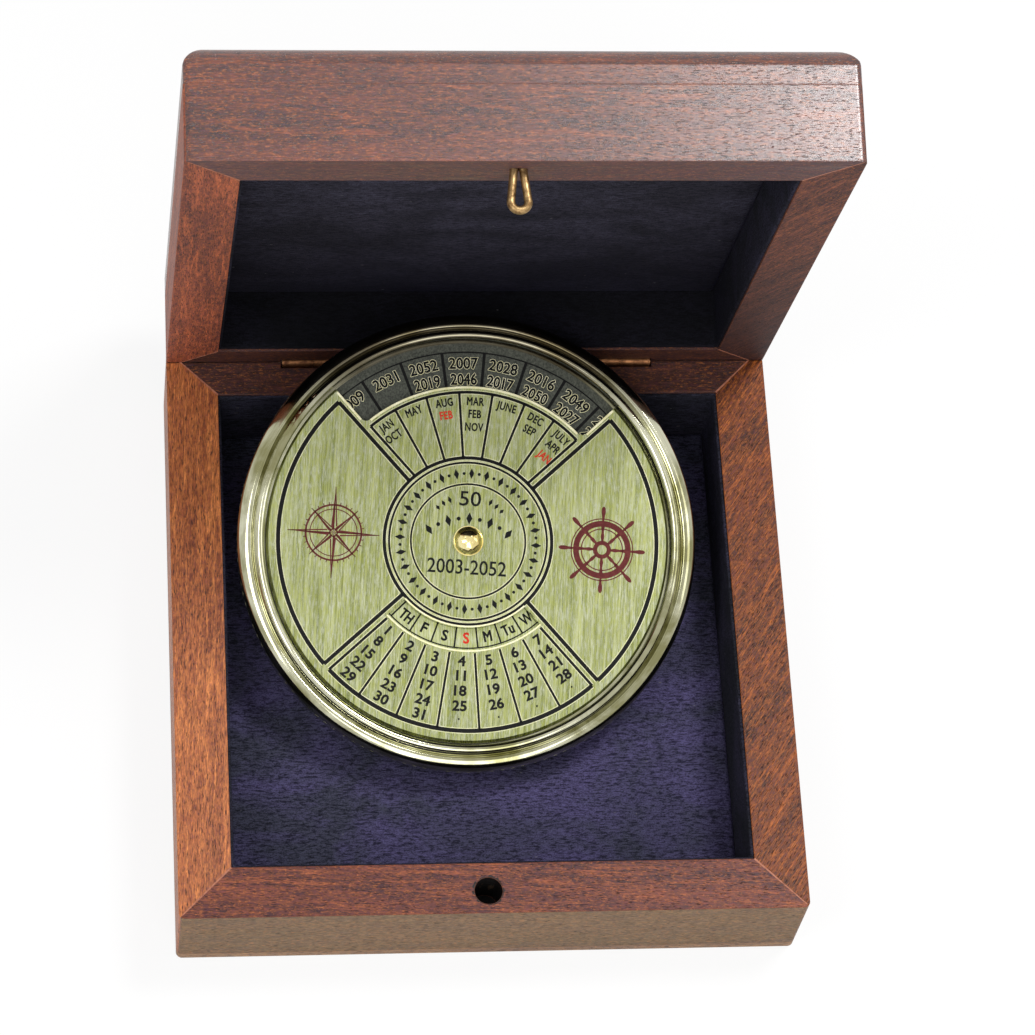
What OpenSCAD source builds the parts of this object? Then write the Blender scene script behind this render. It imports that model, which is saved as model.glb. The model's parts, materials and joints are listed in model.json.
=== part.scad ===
// Fifty-year desk calendar of turned brass in a hinged wooden box.
// Millimetres. X runs along the box's front, Y towards its hinges and Z up.
// The origin is the middle of the box's underside.
// The box stands open, and the calendar leans with its rear on the lid's rear wall.

/* [Calendar case] */
// Outside diameter of the brass case
case_d = 76.2; // [60:0.1:100]
// Height of the case from its underside to the crest of its rim
case_h = 10; // [9:0.1:14]
// Radius of the rounding between the case's side and its underside
case_edge_r = 4.5; // [3:0.1:5]
// Thickness of the case's floor
case_floor_t = 2; // [1.5:0.1:3]
// Width of the rim from the case's side to the bore that holds the dials
rim_w = 4.3; // [3.8:0.1:6]
// Width of the step in the bore that the year disc lies on
ledge_w = 2.4; // [1.5:0.1:4]
// Width of the flat bead at the rim's outer edge
bead_w = 0.75; // [0.5:0.05:1]
// Width and depth of the groove line between the bead and the sloping face
groove_w = 0.25; // [0.15:0.05:0.4]
// Radius of the rim's rounded crest
crest_r = 0.7; // [0.4:0.05:0.9]

/* [Dials] */
// Thickness of the lower disc, which carries the years and the weekdays
disc_t = 1; // [0.6:0.1:1.5]
// Thickness of the turning plate, which carries the months and the dates
plate_t = 1.2; // [0.8:0.1:1.6]
// Depth of the plate's face below the crest of the rim
plate_drop = 1.6; // [1:0.1:2.4]
// Width of the bevel round the plate's face
plate_bevel = 0.4; // [0.2:0.05:0.6]
// Angle that each window spans
window_angle = 88.5; // [60:0.5:110]
// Angle that the plate is set at, turned clockwise from the case's upright line
plate_setting = 4.2; // [0:0.1:12]
// Inner radius of the year window, which is open to the plate's edge
year_window_r = 25.9; // [22:0.1:28]
// Radius of the rounded inner corners of the year window
window_corner_r = 1; // [0.4:0.1:2]
// Inner radius of the weekday window
day_window_r1 = 14.3; // [11:0.1:15.5]
// Outer radius of the weekday window
day_window_r2 = 18.1; // [17:0.1:21]
// Diameter of the centre post that the plate turns on
post_d = 3; // [2:0.1:4]
// Diameter of the domed nut on the post
nut_d = 5; // [4.6:0.1:8]
// Outside diameter of the dished washer that keeps the plate tight
washer_d = 10; // [8:0.1:14]
// Thickness of the dished washer
washer_t = 0.2; // [0.15:0.05:0.3]

/* [Box] */
// Width of the four rails of the base, and of the lid, at the rim
rail_w = 8.5; // [7:0.1:12]
// Space between the opening's edge and the calendar when it lies flat
tray_gap = 4.2; // [3:0.1:10]
// Depth of the base from its rim to the velvet
tray_depth = 14.5; // [12:0.5:24]
// Thickness of the bottom panel
base_panel_t = 1.8; // [1.2:0.1:4]
// Radius of the upright outer corners
corner_r = 1; // [0.5:0.1:2]
// Thickness of the card under each velvet pad
card_t = 1.2; // [0.8:0.1:2]
// Thickness of each velvet pad
velvet_t = 1; // [0.6:0.1:2]
// Thickness of the velvet strips on the inner walls
lining_t = 0.5; // [0.3:0.1:1]
// Distance that the velvet strips stop below the rim
lining_drop = 0.4; // [0.2:0.1:1]

/* [Lid] */
// Depth of the lid from its rim to the velvet
lid_depth = 10; // [8:0.5:18]
// Thickness of the top panel
lid_panel_t = 6.8; // [5:0.1:10]
// Radius of the rounding along the top panel's upper edges
round_r = 5.5; // [4:0.1:7]
// Width of the top face that the rounding takes on each side
round_w = 5.2; // [3:0.1:5.4]
// Angle that the lid stands open at
lid_open = 80; // [70:1:95]
// Gap between the rims of the lid and the base when the box is shut
seam_gap = 0.2; // [0.1:0.05:0.4]

/* [Hinges] */
// Distance of the hinge line from the box's rear face
pivot_inset = 2.5; // [2:0.1:3.5]
// Length of each hinge
hinge_l = 16; // [10:0.5:24]
// Distance from the box's side to the near end of a hinge
hinge_end = 19.5; // [14:0.5:24]
// Outside diameter of a hinge's barrel
barrel_d = 1.6; // [1.4:0.1:2.2]
// Diameter of a hinge pin
pin_d = 0.7; // [0.5:0.05:0.8]
// Thickness of a hinge leaf
leaf_t = 0.4; // [0.3:0.05:0.5]
// Length of a leaf from the hinge line to its end in the wood
leaf_w = 6; // [5.5:0.1:8]
// Diameter of the brads that hold the leaves
brad_d = 0.9; // [0.6:0.1:1.2]
// Length of the brads
brad_l = 6; // [4:0.5:7]
// Distance from each end of a leaf to its brad
brad_end = 3.5; // [1.5:0.5:4]

/* [Catch] */
// Diameter of the catch's brass wire
wire_d = 1.3; // [1:0.1:1.6]
// Outside width of the catch's loop
loop_w = 3.9; // [3.6:0.1:4.2]
// Length of the loop below the lid's rim
loop_l = 7; // [6:0.1:9]
// Depth of the catch's legs in the lid
leg_l = 6; // [4:0.5:8]
// Diameter of the hole in the base that takes the loop
catch_hole_d = 4.5; // [4.4:0.1:5.4]
// Distance of the catch from the box's front face
catch_inset = 3.8; // [3.2:0.1:4.6]
// Offset of the catch to the left of the box's middle
catch_offset = 1.2; // [0:0.1:4]

/* [Rest position] */
// Distance that the calendar reaches past the edge it leans on, which sets its lean
rest_reach = 4.2; // [2:0.1:7]
// Offset of the calendar to the left of the box's middle
calendar_offset = 1.9; // [0:0.1:3]
// Gap between the calendar and what carries it
rest_gap = 0.3; // [0.2:0.05:0.5]

/* [Fits] */
// Radial clearance of a turning fit
run_fit = 0.05; // [0.03:0.01:0.1]
// Gap round a piece that is set into another of the same body
seat_fit = 0.03; // [0.02:0.01:0.05]
// Gap between the plate's edge and the rim's bore
plate_gap = 0.4; // [0.3:0.05:0.8]
// Gap between a hinge's barrel and the wood round it
barrel_gap = 0.25; // [0.2:0.05:0.4]

/* [Hidden] */
$fn = 96;
// Half-size of the cutting blocks, and the length that a cut runs past a face
huge = 4 * case_d;
over = 1;

// Calendar, in its own frame: underside at z = 0 and the year window towards +y
case_r = case_d / 2;
bore_r = case_r - rim_w;
ledge_r = bore_r - ledge_w;
plate_r = bore_r - plate_gap;
post_r = post_d / 2;
nut_r = nut_d / 2;
plate_top = case_h - plate_drop;
plate_z = plate_top - plate_t;
washer_rise = 0.5;
disc_z = plate_z - washer_rise - disc_t;
bead_z = case_h - 3.2;
post_head_r = post_r + 1.1;
post_head_t = 0.9;
nut_rise = 2.2;
nut_gap = 0.08;
nut_skirt = 0.5;
washer_hole_r = post_r + 0.3;

// Box
opening = case_d + 2 * tray_gap;
box_w = opening + 2 * rail_w;
half_w = box_w / 2;
half_opening = opening / 2;
wall_half = half_opening - lining_t;
floor_z = base_panel_t + card_t + velvet_t;
base_h = floor_z + tray_depth;
lid_rail_h = lid_depth + velvet_t + card_t;
lid_h = lid_rail_h + lid_panel_t;
round_drop = round_r - sqrt(round_r ^ 2 - round_w ^ 2);

// Hinge line, and the lid's rim plane when shut
pivot_y = half_w - pivot_inset;
pivot_z = base_h + seam_gap / 2;
lid_z = base_h + seam_gap;
stop_angle = lid_open / 2;
barrel_r = barrel_d / 2;
pin_r = pin_d / 2;
knuckle_gap = 0.1;
knuckle_l = (hinge_l - 2 * knuckle_gap) / 3;
leaf_y = -barrel_r;
brad_z = leaf_w - 1.8;
brad_x = hinge_l / 2 - brad_end;
hinge_x = half_w - hinge_end - hinge_l / 2;

// Catch
catch_y = -half_w + catch_inset;
wire_r = wire_d / 2;
loop_r = loop_w / 2 - wire_r;
loop_straight = loop_l - loop_w / 2;
leg_r = wire_r - 0.1;
leg_x = wire_r + 0.05;
leg_lap = 0.15;
loop_lean = atan2(loop_straight, leg_x) - acos(loop_r / sqrt(leg_x ^ 2 + loop_straight ^ 2));
loop_side = loop_straight * cos(loop_lean) - leg_x * sin(loop_lean);
catch_hole_depth = loop_l + over;

// Where the leaning calendar touches: the velvet floor, and the edge of the
// velvet on the lid's rear wall, which is given from the hinge line with the
// lid shut and then turned open.
shelf_shut = [wall_half - pivot_y, lid_z + lining_drop - pivot_z];
shelf = [
    pivot_y + shelf_shut[0] * cos(lid_open) + shelf_shut[1] * sin(lid_open),
    pivot_z - shelf_shut[0] * sin(lid_open) + shelf_shut[1] * cos(lid_open)
];
// The lean follows from the height of that edge and the length of the underside
// between the two.
span = 2 * case_r - rest_reach - case_edge_r;
rounding = case_edge_r + rest_gap;
climb = shelf[1] - floor_z - rounding;
calendar_tilt = asin(climb / sqrt(span ^ 2 + rounding ^ 2)) + atan2(rounding, span);
calendar_z = floor_z + rounding
    + (case_r - case_edge_r) * sin(calendar_tilt) - case_edge_r * cos(calendar_tilt);
calendar_y = shelf[0]
    - ((shelf[1] - calendar_z) * cos(calendar_tilt) + rest_gap) / sin(calendar_tilt);

wood = [0.42, 0.24, 0.16];
wood_dark = [0.34, 0.19, 0.13];
velvet_blue = [0.09, 0.08, 0.16];
brass = [0.80, 0.66, 0.34];
brass_pale = [0.72, 0.68, 0.42];
brass_grey = [0.42, 0.42, 0.34];
card_grey = [0.55, 0.52, 0.48];

// ---- Placing ----

// Turns what is drawn for the shut lid to where the open lid stands.
module lid_place() {
    translate([0, pivot_y, pivot_z]) rotate([-lid_open, 0, 0])
        translate([0, -pivot_y, -pivot_z]) children();
}

// Lays what is drawn in the calendar's own frame to where the calendar leans.
module calendar_place() {
    translate([-calendar_offset, calendar_y, calendar_z])
        rotate([calendar_tilt, 0, 0]) children();
}

// ---- Wooden rails ----

// Plan of the box with rounded upright corners.
module box_plan() {
    square([box_w - 2 * corner_r, box_w], center = true);
    square([box_w, box_w - 2 * corner_r], center = true);
    for (x = [-1, 1], y = [-1, 1])
        translate([x, y] * (half_w - corner_r)) circle(r = corner_r);
}

// Plan of one rail, cut at 45 degrees at both ends. Side 0 is the front, 1 the
// right, 2 the rear and 3 the left.
module rail_plan(side) {
    intersection() {
        difference() {
            box_plan();
            square(opening, center = true);
        }
        rotate(90 * side) polygon([[0, 0], [-half_w, -half_w], [half_w, -half_w]]);
    }
}

module rail(side, z, h) {
    translate([0, 0, z]) linear_extrude(h) rail_plan(side);
}

// Upper half of the bevel behind the hinge line: the block that is cut from the
// base's rear rail. The lid's is its mirror image, and the two bevels meet as a
// stop when the lid is open.
module stop_bevel() {
    translate([0, pivot_y, pivot_z]) rotate([-stop_angle, 0, 0])
        translate([-huge / 2, -over / 10, -seam_gap / 2]) cube([huge, huge, huge / 4]);
}

module mirror_at_seam() {
    translate([0, 0, 2 * pivot_z]) mirror([0, 0, 1]) children();
}

// Round seat for a barrel, the kerf for a leaf below it and the brads' holes.
module hinge_seat(x) {
    translate([x, pivot_y, pivot_z]) {
        rotate([0, 90, 0])
            cylinder(r = barrel_r + barrel_gap, h = hinge_l + 2 * barrel_gap, center = true);
        translate([-hinge_l / 2 - seat_fit, leaf_y - seat_fit, -leaf_w - seat_fit])
            cube([hinge_l + 2 * seat_fit, leaf_t + 2 * seat_fit, leaf_w]);
    }
    brads(x, seat_fit);
}

// The two brads of one leaf, driven in from the rear face.
module brads(x, extra) {
    for (side = [-1, 1])
        translate([x + side * brad_x, half_w - brad_l, pivot_z - brad_z])
            rotate([-90, 0, 0]) cylinder(r = brad_d / 2 + extra, h = brad_l + extra);
}

module base_front_rail() {
    color(wood) difference() {
        rail(0, base_panel_t, base_h - base_panel_t);
        translate([-catch_offset, catch_y, base_h - catch_hole_depth])
            cylinder(d = catch_hole_d, h = catch_hole_depth + over);
    }
}

module base_rear_rail() {
    color(wood) difference() {
        rail(2, base_panel_t, base_h - base_panel_t);
        stop_bevel();
        for (side = [-1, 1]) hinge_seat(side * hinge_x);
    }
}

module base_left_rail() {
    color(wood) difference() {
        rail(3, base_panel_t, base_h - base_panel_t);
        stop_bevel();
    }
}

module base_right_rail() {
    color(wood) difference() {
        rail(1, base_panel_t, base_h - base_panel_t);
        stop_bevel();
    }
}

module base_panel() {
    color(wood_dark) linear_extrude(base_panel_t) box_plan();
}

module lid_front_rail() {
    color(wood) lid_place() difference() {
        rail(0, lid_z, lid_rail_h);
        catch_slot();
    }
}

module lid_rear_rail() {
    color(wood) lid_place() difference() {
        rail(2, lid_z, lid_rail_h);
        mirror_at_seam() {
            stop_bevel();
            for (side = [-1, 1]) hinge_seat(side * hinge_x);
        }
    }
}

module lid_left_rail() {
    color(wood) lid_place() difference() {
        rail(3, lid_z, lid_rail_h);
        mirror_at_seam() stop_bevel();
    }
}

module lid_right_rail() {
    color(wood) lid_place() difference() {
        rail(1, lid_z, lid_rail_h);
        mirror_at_seam() stop_bevel();
    }
}

// Section of the top panel, with both upper edges rounded. The rounding runs
// out level with the top face and meets the side at a slight angle.
module panel_section() {
    translate([-half_w, 0]) square([box_w, lid_panel_t - round_drop]);
    translate([-half_w + round_w, 0]) square([box_w - 2 * round_w, lid_panel_t]);
    for (side = [-1, 1]) intersection() {
        translate([side * (half_w - round_w), lid_panel_t - round_r]) circle(r = round_r);
        translate([-half_w, 0]) square([box_w, lid_panel_t]);
    }
}

module lid_top_panel() {
    color(wood) lid_place() translate([0, 0, lid_z + lid_rail_h]) intersection() {
        linear_extrude(lid_panel_t) box_plan();
        rotate([90, 0, 0]) linear_extrude(box_w, center = true) panel_section();
        rotate([90, 0, 90]) linear_extrude(box_w, center = true) panel_section();
    }
}

// ---- Card and velvet ----

// Strips on the four inner walls, mitred at the corners.
module wall_velvet(h) {
    for (side = [0:3]) linear_extrude(h) intersection() {
        difference() {
            square(opening, center = true);
            square(2 * wall_half, center = true);
        }
        rotate(90 * side) polygon([[0, 0], [-half_w, -half_w], [half_w, -half_w]]);
    }
}

module pad(size, t) {
    translate([-size / 2, -size / 2, 0]) cube([size, size, t]);
}

module base_card() {
    color(card_grey) translate([0, 0, base_panel_t]) pad(opening - 2 * seat_fit, card_t);
}

module base_velvet_pad() {
    color(velvet_blue) translate([0, 0, base_panel_t + card_t])
        pad(2 * (wall_half - seat_fit), velvet_t);
}

module base_wall_velvet() {
    color(velvet_blue) translate([0, 0, base_panel_t + card_t])
        wall_velvet(base_h - lining_drop - base_panel_t - card_t);
}

module lid_card() {
    color(card_grey) lid_place() translate([0, 0, lid_z + lid_rail_h - card_t])
        pad(opening - 2 * seat_fit, card_t);
}

module lid_velvet_pad() {
    color(velvet_blue) lid_place() translate([0, 0, lid_z + lid_depth])
        pad(2 * (wall_half - seat_fit), velvet_t);
}

module lid_wall_velvet() {
    color(velvet_blue) lid_place() translate([0, 0, lid_z + lining_drop])
        wall_velvet(lid_rail_h - card_t - lining_drop);
}

// ---- Hinges ----

module knuckle(x) {
    translate([x - knuckle_l / 2, 0, 0]) rotate([0, 90, 0]) difference() {
        cylinder(r = barrel_r, h = knuckle_l);
        translate([0, 0, -over]) cylinder(r = pin_r + run_fit, h = knuckle_l + 2 * over);
    }
}

// One leaf, hanging down from the hinge line, with a knuckle at each place in
// the list. The sheet is cut away where the other leaf's knuckles turn.
module leaf(knuckles, notches) {
    for (k = knuckles) knuckle(k * (knuckle_l + knuckle_gap));
    difference() {
        translate([-hinge_l / 2, leaf_y, -leaf_w]) cube([hinge_l, leaf_t, leaf_w]);
        rotate([0, 90, 0]) cylinder(r = pin_r + run_fit, h = hinge_l + 2 * over, center = true);
        for (k = notches)
            translate([k * (knuckle_l + knuckle_gap), 0, 0]) rotate([0, 90, 0])
                cylinder(r = barrel_r + barrel_gap, h = knuckle_l + 2 * knuckle_gap, center = true);
        for (side = [-1, 1])
            translate([side * brad_x, 0, -brad_z]) rotate([90, 0, 0])
                cylinder(r = brad_d / 2 + seat_fit, h = barrel_d + over, center = true);
    }
}

module base_leaf(side) {
    color(brass) translate([side * hinge_x, pivot_y, pivot_z]) leaf([-1, 1], [0]);
}

module lid_leaf(side) {
    color(brass) lid_place() mirror_at_seam()
        translate([side * hinge_x, pivot_y, pivot_z]) leaf([0], [-1, 1]);
}

module hinge_pin(side) {
    color(brass) translate([side * hinge_x, pivot_y, pivot_z]) rotate([0, 90, 0])
        cylinder(r = pin_r, h = hinge_l, center = true);
}

module base_hinge_brads() {
    color(brass) for (side = [-1, 1]) brads(side * hinge_x, 0);
}

module lid_hinge_brads() {
    color(brass) lid_place() mirror_at_seam() for (side = [-1, 1]) brads(side * hinge_x, 0);
}

// ---- Catch ----

// Slot in the lid's front rail for the catch's two legs.
module catch_slot() {
    translate([-catch_offset, catch_y, lid_z - over]) linear_extrude(leg_l + over + seat_fit) {
        square([2 * leg_x, 2 * (wire_r + seat_fit)], center = true);
        for (side = [-1, 1]) translate([side * leg_x, 0]) circle(r = wire_r + seat_fit);
    }
}

// Hairpin of round wire: a ring that is open towards the rim, two sides that
// close in to the rim, and two legs in the wood.
module catch_loop() {
    color(brass) lid_place() translate([-catch_offset, catch_y, lid_z]) {
        translate([0, 0, -loop_straight]) rotate([90, 0, 0]) rotate(180 - loop_lean)
            rotate_extrude(angle = 180 + 2 * loop_lean)
                translate([loop_r, 0]) circle(r = wire_r);
        for (side = [-1, 1]) {
            translate([side * leg_x, 0, 0]) rotate([0, -side * loop_lean, 0])
                translate([0, 0, -loop_side - leg_lap])
                    cylinder(r = wire_r - 0.03, h = loop_side + 2 * leg_lap);
            translate([side * leg_x, 0, 0]) cylinder(r = leg_r, h = leg_l);
        }
    }
}

// ---- Calendar ----

// Half section of the case: floor, ledge, rounded side, bead, groove line,
// sloping face and rounded crest.
module case_section() {
    slope_foot = case_r - bead_w - groove_w;
    crest_x = bore_r + crest_r;
    crest_z = case_h - crest_r;
    run = slope_foot - crest_x;
    rise = crest_z - bead_z;
    // Direction in which the sloping face looks, from the horizontal
    face_turn = atan2(run, rise) + asin(crest_r / sqrt(run ^ 2 + rise ^ 2));
    translate([crest_x, crest_z]) circle(r = crest_r);
    difference() {
        polygon([
            [0, 0], [case_r, 0], [case_r, bead_z], [slope_foot + groove_w, bead_z],
            [slope_foot + groove_w, bead_z - groove_w], [slope_foot, bead_z - groove_w],
            [slope_foot, bead_z],
            [crest_x + crest_r * cos(face_turn), crest_z + crest_r * sin(face_turn)],
            [crest_x, crest_z], [bore_r, crest_z],
            [bore_r, disc_z], [ledge_r, disc_z], [ledge_r, case_floor_t], [0, case_floor_t]
        ]);
        difference() {
            translate([case_r - case_edge_r, -over])
                square([case_edge_r + over, case_edge_r + over]);
            translate([case_r - case_edge_r, case_edge_r]) circle(r = case_edge_r);
        }
    }
}

module calendar_case() {
    color(brass) calendar_place() difference() {
        rotate_extrude() case_section();
        translate([0, 0, -over]) cylinder(r = post_r + seat_fit, h = case_floor_t + 2 * over);
        translate([0, 0, -over])
            cylinder(r = post_head_r + seat_fit, h = post_head_t + seat_fit + over);
    }
}

module year_disc() {
    color(brass_grey) calendar_place() translate([0, 0, disc_z]) difference() {
        cylinder(r = plate_r, h = disc_t);
        translate([0, 0, -over]) cylinder(r = post_r + seat_fit, h = disc_t + 2 * over);
    }
}

// Thin dished ring that presses the plate up against the nut.
module tension_washer() {
    low = disc_z + disc_t;
    dish = washer_rise - washer_t - seat_fit;
    color(brass) calendar_place() translate([0, 0, low]) rotate_extrude()
        polygon([
            [washer_hole_r, dish], [washer_d / 2, 0],
            [washer_d / 2, washer_t], [washer_hole_r, dish + washer_t]
        ]);
}

// Sector between two radii, centred on the direction of `middle`.
module sector(r1, r2, middle, angle) {
    reach = 2 * r2;
    intersection() {
        difference() {
            circle(r = r2);
            circle(r = r1);
        }
        rotate(middle) polygon([
            [0, 0], reach * [cos(angle / 2), -sin(angle / 2)], [reach, 0],
            reach * [cos(angle / 2), sin(angle / 2)]
        ]);
    }
}

// Year window: a sector that is open to the plate's edge, with its two inner
// corners rounded. The roundings cross the straight and curved edges a hair
// past the point where they would only touch them.
module year_window() {
    corner_lap = 0.01;
    centre_r = year_window_r + window_corner_r;
    corner_turn = asin(window_corner_r / centre_r);
    sector(centre_r, plate_r + over, 90, window_angle);
    sector(year_window_r, centre_r + over, 90, window_angle - 2 * corner_turn);
    for (side = [-1, 1])
        rotate(90 + side * (window_angle / 2 - corner_turn))
            translate([centre_r, 0]) circle(r = window_corner_r + corner_lap);
}

module dial_plate() {
    color(brass_pale) calendar_place() translate([0, 0, plate_z]) rotate(-plate_setting) difference() {
        union() {
            cylinder(r = plate_r, h = plate_t - plate_bevel);
            translate([0, 0, plate_t - plate_bevel])
                cylinder(r1 = plate_r, r2 = plate_r - plate_bevel, h = plate_bevel);
        }
        translate([0, 0, -over]) {
            cylinder(r = post_r + run_fit, h = plate_t + 2 * over);
            linear_extrude(plate_t + 2 * over) {
                year_window();
                sector(day_window_r1, day_window_r2, -90, window_angle);
            }
        }
    }
}

// Post with a flat head let into the case's underside.
module centre_post() {
    color(brass) calendar_place() {
        cylinder(r = post_head_r, h = post_head_t);
        cylinder(r = post_r, h = plate_top + nut_gap + nut_rise / 2);
    }
}

module dome_nut() {
    color(brass) calendar_place() translate([0, 0, plate_top + nut_gap]) difference() {
        union() {
            cylinder(r = nut_r, h = nut_skirt);
            translate([0, 0, nut_skirt]) rotate_extrude() intersection() {
                translate([0, nut_rise - nut_skirt - nut_r]) circle(r = nut_r);
                square([nut_r, nut_rise]);
            }
        }
        translate([0, 0, -over])
            cylinder(r = post_r + seat_fit, h = nut_rise / 2 + seat_fit + over);
    }
}

base_front_rail();
base_rear_rail();
base_left_rail();
base_right_rail();
base_panel();
base_card();
base_velvet_pad();
base_wall_velvet();
lid_front_rail();
lid_rear_rail();
lid_left_rail();
lid_right_rail();
lid_top_panel();
lid_card();
lid_velvet_pad();
lid_wall_velvet();
base_leaf(-1);  // left_hinge_base_leaf
lid_leaf(-1);  // left_hinge_lid_leaf
hinge_pin(-1);  // left_hinge_pin
base_leaf(1);  // right_hinge_base_leaf
lid_leaf(1);  // right_hinge_lid_leaf
hinge_pin(1);  // right_hinge_pin
base_hinge_brads();
lid_hinge_brads();
catch_loop();
calendar_case();
year_disc();
tension_washer();
dial_plate();
centre_post();
dome_nut();
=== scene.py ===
"""Looks of a fifty-year desk calendar of turned brass in a hinged wooden box.

The scene is in metres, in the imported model's frame: X along the box's front, Y
towards its hinges, Z up. Sizes below are in millimetres and are turned into
metres by MM. The calendar's lettering, lines and emblems are drawn in the plane
of a face, with the year window towards +y, and are then laid on that face.
"""

import datetime
import json
from math import atan2, cos, pi, radians, sin, tau

import bmesh
import bpy
from mathutils import Matrix, Vector, noise


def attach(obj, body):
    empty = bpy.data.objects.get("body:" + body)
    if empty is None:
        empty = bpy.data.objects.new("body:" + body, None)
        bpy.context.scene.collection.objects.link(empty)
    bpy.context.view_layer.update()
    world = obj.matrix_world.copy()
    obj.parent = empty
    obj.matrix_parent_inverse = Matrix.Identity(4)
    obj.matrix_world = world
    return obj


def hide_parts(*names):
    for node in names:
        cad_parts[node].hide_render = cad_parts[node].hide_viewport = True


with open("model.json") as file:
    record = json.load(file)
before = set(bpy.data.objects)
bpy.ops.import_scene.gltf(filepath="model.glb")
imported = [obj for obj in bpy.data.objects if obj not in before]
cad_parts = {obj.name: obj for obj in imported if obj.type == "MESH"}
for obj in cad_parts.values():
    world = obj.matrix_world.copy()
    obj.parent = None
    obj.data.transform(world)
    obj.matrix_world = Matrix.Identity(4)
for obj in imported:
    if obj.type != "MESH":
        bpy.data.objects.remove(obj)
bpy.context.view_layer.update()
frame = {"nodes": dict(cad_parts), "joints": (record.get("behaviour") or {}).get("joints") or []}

MM = 0.001
QUARTER = pi / 2
EIGHTH = radians(45)
# Directions in the dial's plane
UP = QUARTER
DOWN = -QUARTER

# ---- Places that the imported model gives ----

JOINTS = {joint["name"]: joint for joint in frame["joints"]}
HINGE = Vector(JOINTS["lid_hinge"]["pos_m"])
LID_OPEN = radians(JOINTS["lid_hinge"]["range_deg"][1])
DIAL_AT = Vector(JOINTS["dial_turn"]["pos_m"])
DIAL_AXIS = Vector(JOINTS["dial_turn"]["axis"]).normalized()
LEAN = atan2(-DIAL_AXIS.y, DIAL_AXIS.z)

# Shut lid to open lid, and the calendar's own frame to where it leans
LID_TURN = (Matrix.Translation(HINGE) @ Matrix.Rotation(-LID_OPEN, 4, "X")
            @ Matrix.Translation(-HINGE))
CALENDAR_TURN = Matrix.Translation(DIAL_AT) @ Matrix.Rotation(LEAN, 4, "X")
UPRIGHT = Matrix.Identity(4)


def local_box(node, turn):
    """Lowest and highest corner of a CAD node, seen in a turned frame, in millimetres."""
    back = turn.inverted()
    points = [back @ vertex.co / MM for vertex in frame["nodes"][node].data.vertices]
    return tuple(Vector(pick(p[i] for p in points) for i in range(3)) for pick in (min, max))


PLATE_FACE = local_box("dial_plate", CALENDAR_TURN)[1].z
DISC_FACE = local_box("year_disc", CALENDAR_TURN)[1].z
CASE_CREST = local_box("calendar_case", CALENDAR_TURN)[1].z

# ---- Sizes of the dial's drawing ----

# The plate is set this far clockwise from the case's upright line
PLATE_SETTING = radians(4.2)
CELLS = 28
PITCH = tau / CELLS
# How far the print and the windows' trim stand above their face
INK_T = 0.02
TRIM_T = 0.035

# Radii on the plate: frame, month arc, start of the date cells and the hub's circles
FRAME_R = 31.4
MONTH_R = 24.9
DATE_R = 18.6
HUB_R = 13.9
HUB_LINE_R = 13.1
HUB_INNER_R = 9.5
# Radius and line width of each circle of the hub
HUB_CIRCLES = ((HUB_R, 0.56), (HUB_LINE_R, 0.36), (HUB_INNER_R, 0.32))
# Widths of the plate's other lines
FRAME_W = 0.7
MONTH_ARC_W = 0.48
BLANK_EDGE_W = 0.64
CELL_EDGE_W = 0.46
MONTH_LINE_W = 0.42
DATE_LINE_W = 0.4
# How much wider than the lines their cut edges are
CUT_W = 0.26
# Half the distance between the two lines along each diagonal
DIAGONAL_GAP = 0.62
EMBLEM_X = 22.3

# The two windows, the widths of their trim and how far the sides' trim reaches
YEAR_WINDOW_R = 25.9
DAY_WINDOW_R1 = 14.3
DAY_WINDOW_R2 = 18.1
WINDOW_HALF = radians(88.5 / 2)
YEAR_TRIM_W = 0.36
DAY_TRIM_W = 0.26
WINDOW_CORNER = 1.0
SIDE_TRIM_R1 = YEAR_WINDOW_R + 0.9
SIDE_TRIM_R2 = 32.8

# Radii and widths of the lines on the lower disc, which is grey outside GREY_R
GREY_R = 24.2
YEAR_CELL_R = 24.6
YEAR_BAND_R = 31.9
YEAR_BAND_W = 0.24
YEAR_LINE_W = 0.5
DAY_CELL_R = 13.6
DAY_BAND_R = 17.6
DAY_BAND_W = 0.22
DAY_LINE_W = 0.28

# Height of the letters and radius of each row
MONTH_H = 1.3
MONTH_ROWS = (23.4, 21.3, 19.1)
DATE_H = 1.6
DATE_ROWS = (19.9, 22.3, 24.8, 27.3, 29.7)
DAY_H = 1.7
DAY_ROW = 15.9
YEAR_H = 1.8
YEAR_ROWS = (30.05, 27.35)
# How far the outlines of the years and of the pale borders under them move out
YEAR_WEIGHT = 0.07
YEAR_BORDER = 0.14

# Months over the date columns, left to right, from the outside in. A star marks
# a red month, which stands for January or February of a leap year.
MONTHS = (("JAN", "OCT"), ("MAY",), ("AUG", "*FEB"), ("MAR", "FEB", "NOV"), ("JUNE",),
          ("DEC", "SEP"), ("JULY", "APR", "*JAN"))
# A star marks the red weekday
DAYS = ("*S", "M", "Tu", "W", "TH", "F", "S")
DAY_STRETCH = {"S": 0.95, "M": 0.8, "Tu": 0.76, "W": 0.74, "TH": 0.72, "F": 0.95}
# The weekday cells are printed this far clockwise of the case's upright line
DAY_SHIFT = radians(1.8)
WEEK = len(DAYS)
MIDDLE_COLUMN = WEEK // 2
LAST_DATE = 31
FIRST_YEAR, LAST_YEAR = 2003, 2052
# Years in the cells beside the upright line, counted clockwise
KNOWN_YEARS = {-3: (2009,), -2: (2031,), -1: (2052, 2019), 0: (2007, 2046), 1: (2028, 2017),
               2: (2016, 2050), 3: (2049, 2027)}
YEARS_PER_CELL = 2


def srgb(red, green, blue):
    """A colour as it looks on screen, 0 to 255, as linear light."""
    linear = [c / 12.92 if c <= 0.04045 else ((c + 0.055) / 1.055) ** 2.4
              for c in (red / 255, green / 255, blue / 255)]
    return (*linear, 1)


# ---- Shader nodes ----

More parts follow.
